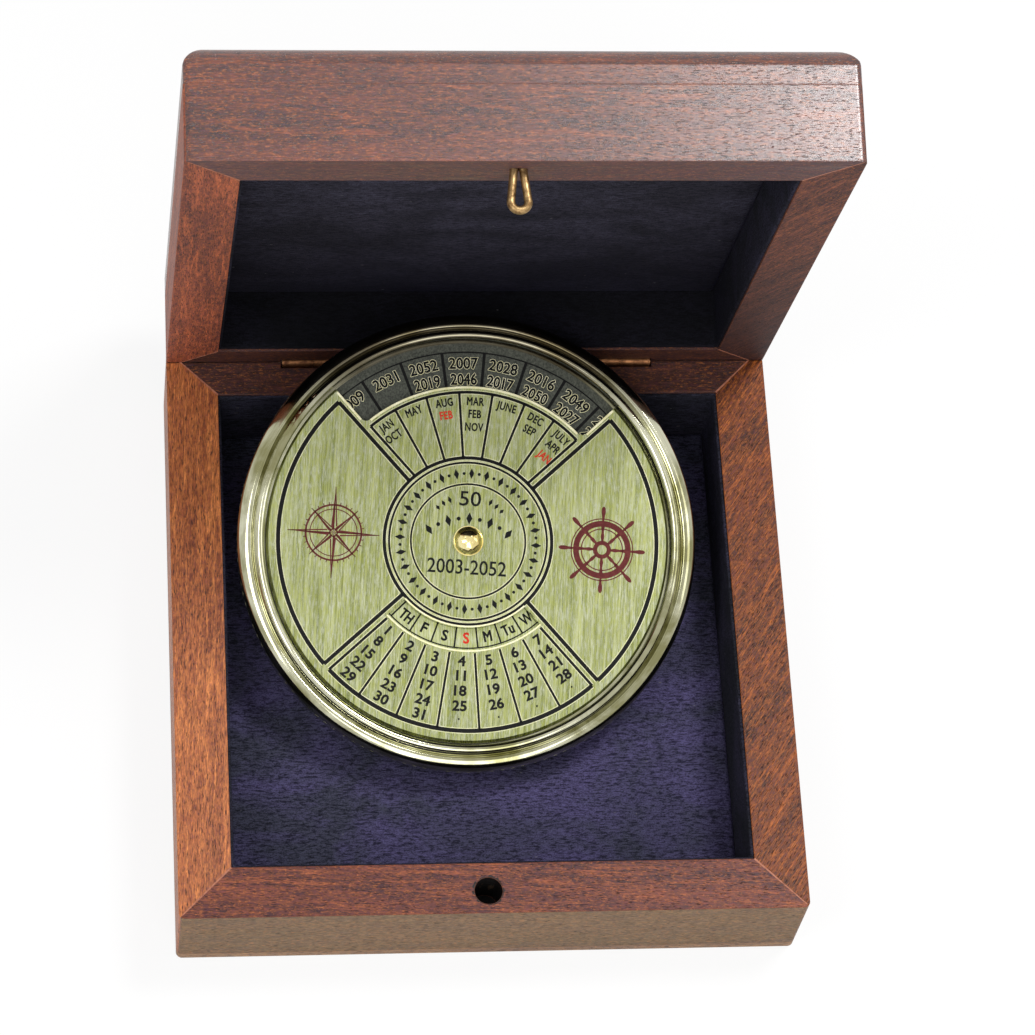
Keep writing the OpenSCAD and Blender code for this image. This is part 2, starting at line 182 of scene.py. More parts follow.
class Shader:
    """Short calls for building the node tree of one material or of the world."""

    def __init__(self, name, owner=None):
        self.owner = owner or bpy.data.materials.new(name)
        self.owner.use_nodes = True
        self.tree = self.owner.node_tree
        self.tree.nodes.clear()

    def add(self, kind, inputs=None, **settings):
        made = self.tree.nodes.new("ShaderNode" + kind)
        for key, value in settings.items():
            setattr(made, key, value)
        for key, value in (inputs or {}).items():
            if isinstance(value, bpy.types.NodeSocket):
                self.tree.links.new(value, made.inputs[key])
            else:
                made.inputs[key].default_value = value
        return made

    def math(self, operation, *values):
        return self.add("Math", dict(enumerate(values)), operation=operation).outputs[0]

    def mix(self, share, low, high, mode="MIX"):
        inputs = {0: share, 6: low, 7: high}
        return self.add("Mix", inputs, data_type="RGBA", blend_type=mode).outputs[2]

    def spread(self, value, low, high, to_low=0.0, to_high=1.0):
        """Maps low..high to to_low..to_high, and holds the ends beyond."""
        inputs = {"Value": value, "From Min": low, "From Max": high,
                  "To Min": to_low, "To Max": to_high}
        return self.add("MapRange", inputs).outputs[0]

    def scaled(self, place, x, y, z):
        return self.add("Mapping", {"Vector": place, "Scale": (x, y, z)}).outputs[0]

    def noise(self, place, detail=3.0, roughness=0.5, distortion=0.0):
        inputs = {"Vector": place, "Scale": 1.0, "Detail": detail,
                  "Roughness": roughness, "Distortion": distortion}
        return self.add("TexNoise", inputs).outputs["Fac"]

    def place(self, turn=(0, 0, 0), offset=(0, 0, 0)):
        """The object's own coordinates in millimetres, turned and then offset."""
        inputs = {"Vector": self.add("TexCoord").outputs["Object"],
                  "Scale": (1 / MM,) * 3, "Rotation": turn, "Location": offset}
        return self.add("Mapping", inputs).outputs[0]

    def split(self, vector):
        """X, Y and Z of a vector."""
        return self.add("SeparateXYZ", {0: vector}).outputs

    def off_axis(self, parts):
        """Square of the distance from the Z axis, from X, Y and Z."""
        return self.math("ADD", self.math("MULTIPLY", parts[0], parts[0]),
                         self.math("MULTIPLY", parts[1], parts[1]))

    def bump(self, height, strength, depth, normal=None):
        """Normals bent by a height. depth is in millimetres."""
        inputs = {"Strength": strength, "Distance": depth * MM, "Height": height}
        if normal is not None:
            inputs["Normal"] = normal
        return self.add("Bump", inputs).outputs[0]

    def finish(self, surface, output="OutputMaterial"):
        self.tree.links.new(surface.outputs[0], self.add(output).inputs[0])
        return self.owner

    def surface(self, colour, roughness, normal, more):
        """Finishes a material. more is what differs from the plain surface."""
        inputs = {"Base Color": colour, "Roughness": roughness, "Normal": normal}
        return self.finish(self.add("BsdfPrincipled", {**inputs, **more}))

    def sees_backdrop(self):
        """1 for camera, glossy and transmission rays, and 0 for the light on the object."""
        path = self.add("LightPath").outputs
        either = self.math("MAXIMUM", path["Is Camera Ray"], path["Is Glossy Ray"])
        return self.math("MAXIMUM", either, path["Is Transmission Ray"])


# ---- Camera, stage and light ----

CAMERA_AT = (-72.447, -285.232, 665.328)
CAMERA_AIM = (9.353, 27.752, 0)
CAMERA_ROLL = radians(12.75)
CAMERA_LENS = 149.85
CAMERA_SENSOR = 36
CAMERA_NEAR = 10

WHITE = (1, 1, 1, 1)
WORLD_LIGHT = 0.25
FLOOR_HALF = 1500
# How far the floor lies below the box
FLOOR_DROP = 0.02
# Darkest and lightest tone of the floor, and the share of backdrop white over it
FLOOR_TONES = ((0.90, 0.90, 0.90, 1), (0.93, 0.93, 0.93, 1))
FLOOR_WHITE = 0.86
# Name, place, aim and side of the square in millimetres, and power in watts
LAMPS = (
    ("key_lamp", (-500, -260, 860), (0, 0, 20), 400, 3.2),
    ("sheen_lamp", (262, 160, 690), (30, 40, 60), 180, 2.9),
    ("front_lamp", (20, -560, 480), (0, 0, 30), 460, 2.0),
    ("right_lamp", (600, -60, 520), (0, 0, 30), 300, 0.6),
)


def aimed(at, aim, roll=0.0):
    """Placement that looks from one point at another, rolled about its sight."""
    look = (Vector(aim) - Vector(at)).to_track_quat("-Z", "Y").to_matrix().to_4x4()
    return Matrix.Translation(Vector(at) * MM) @ (look @ Matrix.Rotation(roll, 4, "Z"))


def make_camera():
    data = bpy.data.cameras.new("photo_camera")
    data.sensor_width = CAMERA_SENSOR
    data.lens = CAMERA_LENS
    data.clip_start = CAMERA_NEAR * MM
    camera = bpy.data.objects.new("photo_camera", data)
    bpy.context.scene.collection.objects.link(camera)
    camera.matrix_world = aimed(CAMERA_AT, CAMERA_AIM, CAMERA_ROLL)
    bpy.context.scene.camera = camera


def make_world():
    world = bpy.data.worlds.new("studio")
    bpy.context.scene.world = world
    s = Shader("studio", world)
    strength = s.spread(s.sees_backdrop(), 0, 1, WORLD_LIGHT, 1.0)
    s.finish(s.add("Background", {"Color": WHITE, "Strength": strength}), "OutputWorld")


def make_floor():
    """Pale floor that is white to the camera and keeps a trace of the shadow."""
    s = Shader("pale_floor")
    paper = s.noise(s.scaled(s.place(), 0.02, 0.02, 0.02), 2)
    dull = s.add("BsdfDiffuse", {"Color": s.mix(paper, *FLOOR_TONES)})
    bright = s.add("Emission", {"Color": WHITE, "Strength": 1.0})
    share = s.math("MULTIPLY", s.sees_backdrop(), FLOOR_WHITE)
    s.finish(s.add("MixShader", {0: share, 1: dull.outputs[0], 2: bright.outputs[0]}))
    mesh = bpy.data.meshes.new("floor")
    corners = [(x * FLOOR_HALF * MM, y * FLOOR_HALF * MM, -FLOOR_DROP * MM) for x, y in
               ((-1, -1), (1, -1), (1, 1), (-1, 1))]
    mesh.from_pydata(corners, [], [(0, 1, 2, 3)])
    mesh.materials.append(s.owner)
    floor = bpy.data.objects.new("floor", mesh)
    bpy.context.scene.collection.objects.link(floor)


def make_lamps():
    for name, at, aim, side, power in LAMPS:
        data = bpy.data.lights.new(name, "AREA")
        data.size = side * MM
        data.energy = power
        lamp = bpy.data.objects.new(name, data)
        bpy.context.scene.collection.objects.link(lamp)
        lamp.matrix_world = aimed(at, aim)


# ---- Materials ----

# The scales of the noises below are per millimetre along X, Y and Z. spread() takes the
# bounds of a noise and then the shares or roughnesses that they become.

# Turns that bring the grain to run along the shader's X: (about X, about Y, about Z)
ALONG_X = (0, 0, 0)
ALONG_Y = (0, 0, QUARTER)
LID_ALONG_X = (LID_OPEN, 0, 0)
LID_ALONG_Y = (LID_OPEN, 0, QUARTER)
# How far one board lies from the next in the tree
TREE_STEP = (37.0, 11.3, 5.7)
WARM_FLECK = srgb(206, 122, 60)
COOL_FLECK = srgb(96, 50, 66)
# Colour of the painted shade that darkens a board downwards
WOOD_SHADE = srgb(34, 28, 32)
PORE_BLACK = (0.012, 0.006, 0.006, 1)
# Radius of the wood's softened edges
WORN_R = 0.3
# Centre and radius of the hole for the catch in the front rail
CATCH_BORE = (-1.2, -47.0, 2.25)
# Black painted inside the hole as its shade
PAINTED_BORE_SHADE = (0.004, 0.003, 0.003, 1)
# Half the width over which the bore's edge fades
BORE_BLUR = 0.1


def wood(name, light, middle, dark, turn, seed, slant=0.0, gloss=0.42, shine=0.34,
         front=None, deep=None, bore=None):
    """Oiled open-pored rosewood. seed moves each board to another part of the tree, slant is the
    angle at which its figure crosses the board, front is the tone of the faces that look to the
    front, which on the open lid's rim is painted shade, deep is the two heights in millimetres
    between which painted shade darkens the board downwards, and bore is the centre and radius of
    an upright hole that is painted black inside as its shade."""
    s = Shader(name)
    place = s.place((turn[0], turn[1], turn[2] + slant), tuple(step * seed for step in TREE_STEP))
    bands = s.noise(s.scaled(place, 0.022, 0.17, 0.17), 3, 0.55, 0.6)
    streaks = s.noise(s.scaled(place, 0.08, 1.0, 1.0), 5, 0.68, 1.1)
    veins = s.noise(s.scaled(place, 0.14, 2.3, 2.3), 3, 0.6, 1.4)
    fibres = s.noise(s.scaled(place, 0.7, 5.5, 5.5), 3, 0.6)
    pores = s.noise(s.scaled(place, 1.0, 6.0, 6.0), 1, 0.4)
    mottle = s.noise(s.scaled(place, 0.6, 1.1, 1.1), 4, 0.7)
    flecks = s.noise(s.scaled(place, 1.7, 4.2, 4.2), 2, 0.7)
    colour = s.mix(s.spread(bands, 0.36, 0.62), dark, middle)
    colour = s.mix(s.spread(streaks, 0.50, 0.64, 0, 0.85), colour, light)
    colour = s.mix(s.spread(streaks, 0.32, 0.45, 0.7, 0), colour, dark)
    colour = s.mix(s.spread(veins, 0.56, 0.66, 0, 0.6), colour, dark)
    colour = s.mix(s.spread(mottle, 0.40, 0.62, 0, 0.35), colour, light)
    # Tone of the faces that look to the front, which on the open lid's rim is painted shade
    if front:
        ahead = s.split(s.add("TexCoord").outputs["Normal"])[1]
        share = s.math("MULTIPLY", s.spread(ahead, -0.9, -0.5, 0.78, 0),
                       s.spread(streaks, 0.3, 0.6, 0.65, 1))
        colour = s.mix(share, colour, front)
    colour = s.mix(s.spread(flecks, 0.53, 0.68, 0, 0.34), colour, WARM_FLECK)
    colour = s.mix(s.spread(flecks, 0.34, 0.46, 0.42, 0), colour, COOL_FLECK)
    # Painted shade, darker downwards
    if deep:
        height = s.split(s.place())[2]
        colour = s.mix(s.spread(height, deep[0], deep[1], 0.7, 0), colour, WOOD_SHADE)
    # Painted shade: the hole for the catch is black inside
    if bore:
        x, y, radius = bore
        spot = s.add("VectorMath", {0: s.place(), 1: (-x, -y, 0)}, operation="ADD").outputs[0]
        reach = s.math("SQRT", s.off_axis(s.split(spot)))
        ragged = s.noise(s.scaled(s.place(), 1.4, 1.4, 0.3), 2)
        rim = s.math("SUBTRACT", reach, s.spread(ragged, 0.35, 0.65, 0.05, 0.45))
        inside = s.spread(rim, radius - BORE_BLUR, radius + BORE_BLUR, 1, 0)
        colour = s.mix(inside, colour, PAINTED_BORE_SHADE)
    shade = s.spread(fibres, 0.3, 0.7, 0.46, 1.42)
    shade = s.add("CombineColor", {0: shade, 1: shade, 2: shade}).outputs[0]
    colour = s.mix(1.0, colour, shade, "MULTIPLY")
    holes = s.spread(pores, 0.62, 0.70)
    colour = s.mix(s.math("MULTIPLY", holes, 0.75), colour, PORE_BLACK)
    # Edges are softened, and paler where they are worn
    soft = s.add("Bevel", {"Radius": WORN_R * MM}, samples=4).outputs[0]
    flat = s.add("NewGeometry").outputs["True Normal"]
    bend = s.add("VectorMath", {0: soft, 1: flat}, operation="DOT_PRODUCT").outputs["Value"]
    colour = s.mix(s.spread(bend, 0.90, 0.995, 0.5, 0), colour, light)
    relief = s.math("SUBTRACT", s.math("MULTIPLY", fibres, 0.35), holes)
    rough = s.spread(s.math("ADD", fibres, holes), 0.3, 1.4, gloss, gloss + 0.2)
    if front:
        rough = s.math("MAXIMUM", rough, share)
    return s.surface(colour, rough, s.bump(relief, 0.6, 0.07, soft),
                     {"Specular IOR Level": shine})


# Tones of the velvet where the pile stands up and where it lies over
VELVET_TONE = srgb(64, 65, 82)
VELVET_NAP = srgb(84, 78, 116)
# The walls' velvet is darker than the floor's: painted shade
WALL_TONE = srgb(40, 41, 48)
WALL_NAP = srgb(58, 56, 74)
LID_TONE = srgb(50, 49, 58)
LID_NAP = srgb(74, 72, 88)
PILE_DARK = (0.003, 0.003, 0.004, 1)
LINT = srgb(120, 116, 118)
VELVET_SHEEN = 0.04
WALL_SHEEN = 0.01
SHEEN_TINT = srgb(120, 112, 190)
# Heights between which painted shade darkens the open lid's velvet downwards
LID_SHADE = (36, 82)


def velvet(name, turn, tone, nap, seed, sheen=VELVET_SHEEN, deep=None):
    """Short-pile velvet with fine rows along X. nap is the colour where the pile lies over, and
    deep the two heights in millimetres between which painted shade darkens it downwards."""
    s = Shader(name)
    place = s.place(turn, (seed * 17.0, seed * 9.0, 0))
    rows = s.noise(s.scaled(place, 0.75, 3.0, 3.0), 3, 0.65, 0.5)
    pile = s.noise(s.scaled(place, 4.0, 6.0, 6.0), 2, 0.7)
    crush = s.noise(s.scaled(place, 0.045, 0.085, 0.085), 4, 0.65, 0.8)
    lint = s.noise(s.scaled(place, 0.9, 2.1, 2.1), 0, 0.5)
    colour = s.mix(s.spread(crush, 0.40, 0.64), tone, nap)
    colour = s.mix(s.spread(rows, 0.38, 0.55, 0.75, 0), colour, PILE_DARK)
    colour = s.mix(s.spread(pile, 0.34, 0.52, 0.7, 0), colour, PILE_DARK)
    colour = s.mix(s.spread(pile, 0.62, 0.72, 0, 0.35), colour, nap)
    # Painted shade, darker downwards
    if deep:
        height = s.split(s.place())[2]
        colour = s.mix(s.spread(height, deep[0], deep[1], 0.8, 0), colour, PILE_DARK)
    colour = s.mix(s.spread(lint, 0.86, 0.88, 0, 0.4), colour, LINT)
    raised = s.math("ADD", s.math("MULTIPLY", rows, 0.6), pile)
    return s.surface(colour, 0.95, s.bump(raised, 0.8, 0.12), {
        "Specular IOR Level": 0.08, "Sheen Weight": sheen, "Sheen Roughness": 0.35,
        "Sheen Tint": SHEEN_TINT})


METAL = {"Metallic": 1.0}
RINGS_PER_MM = 7.0
# Tone of the painted dark reflection of the open lid on the brass
PAINTED_DARK_REFLECTION = srgb(70, 58, 46)
# Tones that the strokes of brushed brass lean to
SILVER = srgb(192, 194, 180)
GOLD = srgb(160, 165, 64)


def calendar_place(s):
    """Coordinates in millimetres in the calendar's own frame."""
    back = CALENDAR_TURN.inverted()
    return s.place((-LEAN, 0, 0), tuple(back.translation / MM))


def turned_brass(name, colour, deep, gloss, seed, dents=0.0, painted_dark_top=None):
    """Brass turned on a lathe: rings round the calendar's axis, tarnish, and small dents where
    dents isn't 0. Where two distances above the middle of the dial are given, in millimetres, a
    painted dark reflection of the open lid takes over the brass between them, towards the top."""
    s = Shader(name)
    place = calendar_place(s)
    parts = s.split(place)
    radius = s.math("SQRT", s.off_axis(parts))
    along = s.add("CombineXYZ", {0: s.math("MULTIPLY", radius, RINGS_PER_MM),
                                 1: s.math("MULTIPLY", parts[2], RINGS_PER_MM),
                                 2: seed}).outputs[0]
    rings = s.noise(along, 3, 0.7)
    tarnish = s.noise(s.scaled(place, 0.09, 0.09, 0.3), 4, 0.6, 0.5)
    scratch = s.noise(s.scaled(place, 1.3, 9.0, 5.0), 3, 0.7, 2.0)
    tone = s.mix(s.spread(tarnish, 0.40, 0.64, 0, 0.8), colour, deep)
    tone = s.mix(s.spread(rings, 0.52, 0.70, 0, 0.5), tone, deep)
    rough = s.math("ADD", s.spread(rings, 0.3, 0.7, gloss, gloss + 0.07),
                   s.spread(scratch, 0.6, 0.75, 0, 0.08))
    normal = s.bump(rings, 0.12, 0.02)
    # Painted reflection of the open lid, darker towards the top of the case
    if painted_dark_top:
        dark_top_share = s.math("MULTIPLY", s.spread(parts[1], painted_dark_top[0], painted_dark_top[1], 0, 0.86),
                     s.spread(rings, 0.35, 0.6, 0.8, 1))
        tone = s.mix(dark_top_share, tone, PAINTED_DARK_REFLECTION)
    if dents:
        cells = s.add("TexVoronoi", {"Vector": place, "Scale": 0.8}).outputs["Distance"]
        normal = s.bump(cells, dents, 0.25, normal)
    return s.surface(tone, rough, normal, METAL)


def brushed(s, light, dark, setting):
    """Colour, roughness and height of brass brushed along the dial's upright line, whose
    strokes lean to silver here and to gold there."""
    turn = Matrix.Rotation(setting, 4, "Z").to_euler()
    place = s.add("Mapping", {"Vector": calendar_place(s), "Rotation": turn}).outputs[0]
    fine = s.noise(s.scaled(place, 9.0, 0.16, 1.0), 3, 0.7)
    wide = s.noise(s.scaled(place, 1.9, 0.07, 1.0), 4, 0.6)
    cloud = s.noise(s.scaled(place, 0.12, 0.05, 1.0), 3, 0.5)
    strokes = s.noise(s.scaled(place, 3.6, 0.7, 1.0), 3, 0.7)
    tone = s.mix(s.spread(s.math("ADD", fine, wide), 0.80, 1.20), dark, light)
    tone = s.mix(s.spread(cloud, 0.4, 0.7, 0, 0.35), tone, light)
    tone = s.mix(s.spread(strokes, 0.48, 0.66, 0, 0.5), tone, SILVER)
    tone = s.mix(s.spread(strokes, 0.34, 0.48, 0.42, 0), tone, GOLD)
    rough = s.spread(fine, 0.3, 0.7, 0.22, 0.36)
    return tone, rough, fine


def plate_brass(name, light, dark):
    """The plate: brushed all over, and turned with its setting."""
    s = Shader(name)
    tone, rough, height = brushed(s, light, dark, PLATE_SETTING)
    return s.surface(tone, rough, s.bump(height, 0.22, 0.02), METAL)


def disc_brass(name, light, dark, grey, grey_dark):
    """The lower disc: brushed like the plate inside GREY_R, and darkened outside it."""
    s = Shader(name)
    tone, rough, height = brushed(s, light, dark, 0)
    place = calendar_place(s)
    outside = s.math("GREATER_THAN", s.off_axis(s.split(place)), GREY_R ** 2)
    grain = s.noise(s.scaled(place, 3.4, 2.6, 3.0), 4, 0.75)
    stain = s.mix(s.spread(grain, 0.36, 0.64), grey_dark, grey)
    tone = s.mix(outside, tone, stain)
    rough = s.math("MAXIMUM", rough, s.math("MULTIPLY", outside, 0.5))
    return s.surface(tone, rough, s.bump(s.math("ADD", height, grain), 0.25, 0.03), METAL)


def small_brass(name, light, dark, gloss, seed):
    """Drawn or pressed brass with dull patches and fine scratches."""
    s = Shader(name)
    place = s.place((0, 0, 0), (seed * 3.0, seed * 5.0, seed))
    patches = s.noise(s.scaled(place, 0.7, 0.7, 0.7), 4, 0.65)
    scratch = s.noise(s.scaled(place, 2.0, 8.0, 8.0), 3, 0.7)
    tone = s.mix(s.spread(patches, 0.35, 0.62), dark, light)
    rough = s.math("ADD", s.spread(patches, 0.3, 0.7, gloss + 0.18, gloss),
                   s.spread(scratch, 0.5, 0.7, 0, 0.1))
    return s.surface(tone, rough, s.bump(s.math("ADD", patches, scratch), 0.3, 0.03), METAL)


def enamel(name, colour, worn, seed):
    """Dull paint or paste, a little uneven: the dial's enamel and the mitres' filler."""
    s = Shader(name)
    place = s.place((0, 0, 0), (seed * 4.0, seed * 2.0, 0))
    uneven = s.noise(s.scaled(place, 1.6, 1.6, 1.6), 4, 0.7)
    tone = s.mix(s.spread(uneven, 0.45, 0.75), colour, worn)
    rough = s.spread(uneven, 0.3, 0.7, 0.36, 0.55)
    return s.surface(tone, rough, s.bump(uneven, 0.2, 0.02), {"Specular IOR Level": 0.14})


def card(name):
    """Grey card under the velvet."""
    s = Shader(name)
    pulp = s.noise(s.scaled(s.place(), 1.2, 2.4, 2.4), 5, 0.7)
    tone = s.mix(s.spread(pulp, 0.3, 0.7), srgb(120, 114, 104), srgb(164, 158, 146))
    return s.surface(tone, 0.9, s.bump(pulp, 0.4, 0.05), {})


def dress(node, material):
    """Gives a CAD node its material."""
    slots = frame["nodes"][node].data.materials
    slots.clear()
    slots.append(material)


def dress_wood():
    """One board for each rail and panel: light, middle and dark tone, grain, seed and what
    else differs."""
    lid_tones = (srgb(130, 66, 40), srgb(82, 42, 36), srgb(38, 21, 27))
    lid_finish = {"gloss": 0.22, "shine": 0.82}
    boards = (
        ("base_front_rail", (srgb(146, 80, 52), srgb(102, 54, 46), srgb(54, 30, 36)), ALONG_X, 1,
         {"slant": 0.06, "shine": 0.24, "front": srgb(136, 120, 92), "bore": CATCH_BORE}),
        # The rear rails are toned darker as painted shade from the open lid
        ("base_rear_rail", (srgb(92, 54, 44), srgb(64, 40, 36), srgb(38, 25, 26)), ALONG_X, 2,
         {}),
        ("base_left_rail", (srgb(214, 132, 74), srgb(168, 94, 54), srgb(112, 56, 36)), ALONG_Y, 3,
         {"slant": 0.05}),
        ("base_right_rail", (srgb(162, 88, 38), srgb(104, 52, 27), srgb(50, 27, 18)), ALONG_Y, 4,
         {"slant": 0.6, "shine": 0.2}),
        # front here is painted shade on the lid's rim, which looks down and to the front when the
        # lid is open
        ("lid_front_rail", lid_tones, LID_ALONG_X, 5, {**lid_finish, "front": srgb(66, 36, 42)}),
        # Toned darker as painted shade from the open lid
        ("lid_rear_rail", (srgb(84, 48, 40), srgb(58, 35, 31), srgb(35, 22, 23)), LID_ALONG_X, 6,
         {}),
        ("lid_left_rail", (srgb(186, 98, 60), srgb(140, 72, 52), srgb(88, 44, 38)),
         LID_ALONG_Y, 7, {"gloss": 0.55}),
        # The lid's right rail is toned darker and gets painted shade downwards, towards the hinge
        ("lid_right_rail", (srgb(136, 78, 54), srgb(86, 48, 40), srgb(44, 26, 28)),
         LID_ALONG_Y, 8, {"slant": -0.5, "gloss": 0.6, "shine": 0.25, "deep": (35, 85)}),
        ("lid_top_panel", lid_tones, LID_ALONG_X, 5, lid_finish),
        ("base_panel", (srgb(176, 134, 88), srgb(148, 112, 76), srgb(104, 76, 56)), ALONG_X, 9,
         {}),
    )
    for node, tones, turn, seed, more in boards:
        dress(node, wood("wood_" + node, *tones, turn, seed, **more))


def dress_brass():
    """Gives the brass nodes their materials, and returns that of the case."""
    # The case's brass gets a painted dark reflection of the open lid towards its top
    polished = turned_brass("polished_brass", srgb(204, 203, 178), srgb(112, 109, 56),
                            0.07, 1.0, painted_dark_top=(19, 29))
    hinge = small_brass("hinge_brass", srgb(150, 104, 70), srgb(84, 54, 38), 0.36, 1)
    for node in frame["nodes"]:
        if "hinge_" in node:
            dress(node, hinge)
    dress("calendar_case", polished)
    dress("centre_post", polished)
    dress("dome_nut", turned_brass("nut_brass", srgb(246, 234, 176), srgb(200, 168, 74),
                                   0.09, 2.0, dents=0.5))
    dress("dial_plate", plate_brass("brushed_brass", srgb(172, 176, 126), srgb(110, 118, 66)))
    dress("year_disc", disc_brass("dark_brass", srgb(190, 194, 146), srgb(138, 147, 88),
                                  srgb(88, 90, 82), srgb(54, 56, 52)))
    dress("tension_washer", small_brass("spring_brass", srgb(214, 184, 120), srgb(160, 130, 76),
                                        0.25, 3))
    dress("catch_loop", small_brass("catch_brass", srgb(168, 140, 98), srgb(92, 68, 42), 0.34, 2))
    return polished


# ---- Pieces of mesh ----

def finish_piece(name, bm, turn, body, material):
    """Makes an object of a mesh drawn in millimetres in a turned frame, and lets it ride."""
    bmesh.ops.recalc_face_normals(bm, faces=bm.faces)
    mesh = bpy.data.meshes.new(name)
    bm.to_mesh(mesh)
    bm.free()
    mesh.transform(turn @ Matrix.Scale(MM, 4))
    mesh.materials.append(material)
    piece = bpy.data.objects.new(name, mesh)
    bpy.context.scene.collection.objects.link(piece)
    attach(piece, body)
    return piece


def smooth(piece, angle=50):
    """Smooth shading, with edges sharper than angle kept crisp."""
    mesh = piece.data
    mesh.shade_smooth()
    mesh.set_sharp_from_angle(angle=radians(angle))


def loft(bm, rings, closed):
    """Joins rings of vertices by bands of faces, and the last ring to the first where closed."""
    pairs = list(zip(rings, rings[1:] + rings[:1]))
    for one, two in pairs if closed else pairs[:-1]:
        for i in range(len(one)):
            j = (i + 1) % len(one)
            bm.faces.new((one[i], one[j], two[j], two[i]))


# ---- Turned bead of the case ----

# The bead's outside and top, and how far it rounds off inwards of its top
BEAD_R = 38.1
BEAD_TOP_R = 36.1
BEAD_INNER_W = 0.9
# Its height, the depth of its foot below the case's crest, and how far it sinks in there
BEAD_H = 2.2
BEAD_FOOT = 3.2
BEAD_SINK = 0.1
# How far its outline keeps inside BEAD_R at the foot and where it is sunk in
BEAD_INSET = 0.001
BEAD_SUNK_INSET = 0.02
BEAD_SEGMENTS = 160
# Steps of a quarter of its rounding outside and inside, and the steps taken inside
BEAD_OUTER_STEPS = 9
BEAD_INNER_STEPS = 6
BEAD_INNER_TAKEN = 4


def rim_bead(material):
    """Rounded bead turned on the case's edge, outside the groove and the crest."""
    foot = CASE_CREST - BEAD_FOOT
    sunk = foot - BEAD_SINK
    profile = [(BEAD_R - BEAD_SUNK_INSET, sunk), (BEAD_R - BEAD_INSET, foot)]
    for i in range(1, BEAD_OUTER_STEPS + 1):
        angle = QUARTER * i / BEAD_OUTER_STEPS
        profile.append((BEAD_TOP_R + (BEAD_R - BEAD_TOP_R) * cos(angle),
                        foot + BEAD_H * sin(angle)))
    for i in range(1, BEAD_INNER_TAKEN + 1):
        angle = QUARTER * i / BEAD_INNER_STEPS
        profile.append((BEAD_TOP_R - BEAD_INNER_W * sin(angle), foot + BEAD_H * cos(angle)))
    profile.append((profile[-1][0], sunk))
    bm = bmesh.new()
    rings = []
    for i in range(BEAD_SEGMENTS):
        angle = tau * i / BEAD_SEGMENTS
        rings.append([bm.verts.new((r * cos(angle), r * sin(angle), z)) for r, z in profile])
    loft(bm, rings, closed=True)
    piece = finish_piece("rim_bead", bm, CALENDAR_TURN, "calendar", material)
    smooth(piece, 40)


# ---- Velvet ----

# Distances of a pad's outer rows from its edge, and how many even steps lie between
PAD_EDGE = (0, 0.08, 0.2, 0.4, 0.7, 1.1)
PAD_STEPS = 72
# How far the edge rolls down, and how far the whole pad lies below its solid's face
PAD_ROLL = 0.45
PAD_SETTLE = 0.05
# Height of the pad's swells, which fade near the edge, and of its crushed pile
PAD_SWELL = 0.10
PAD_SWELL_FADE = 4
PAD_CRUSH = 0.035

BAND_T = 0.5
BAND_ROWS = 9
BAND_COLUMNS = 46
# How far from a corner the band bends, and its share of depth there along X and Y
BAND_CORNER = 0.9
BAND_CORNER_PULL = 1.35
BAND_WAVE = 0.06


def velvet_pad(name, node, turn, body, material, face, seed):
    """Velvet pad with edges that roll down and a nap that isn't quite flat. face is +1
    where the velvet looks along the frame's +Z, and -1 where it looks the other way."""
    low, high = local_box(node, turn)
    roll = PAD_EDGE[-1]
    width = high.x - low.x
    step = (width - 2 * roll) / PAD_STEPS
    marks = [*PAD_EDGE[:-1], *(roll + step * i for i in range(PAD_STEPS + 1)),
             *(width - e for e in reversed(PAD_EDGE[:-1]))]
    top, bottom = (high.z, low.z) if face > 0 else (low.z, high.z)
    bm = bmesh.new()
    rows = []
    for y in marks:
        row = []
        for x in marks:
            inset = min(x, y, width - x, width - y)
            drop = PAD_ROLL * max(0, 1 - inset / roll) ** 2.5
            broad = (noise.noise((x / 16, y / 11, seed)) * PAD_SWELL
                     * min(1, inset / PAD_SWELL_FADE))
            crush = noise.noise((x / 3.1, y / 1.4, seed + 5)) * PAD_CRUSH
            height = top - face * (drop + PAD_SETTLE - 0.5 * broad - crush * min(1, inset))
            row.append(bm.verts.new((low.x + x, low.y + y, height)))
        rows.append(row)
    for below, above in zip(rows, rows[1:]):
        for a, b, c, d in zip(below, below[1:], above[1:], above):
            bm.faces.new((a, b, c, d))
    rim = [*rows[0], *(row[-1] for row in rows[1:]), *reversed(rows[-1][:-1]),
           *(row[0] for row in reversed(rows[1:-1]))]
    foot = [bm.verts.new((v.co.x, v.co.y, bottom)) for v in rim]
    loft(bm, [rim, foot], closed=False)
    bm.faces.new(foot)
    pad = finish_piece(name, bm, turn, body, material)
    smooth(pad)
    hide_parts(node)


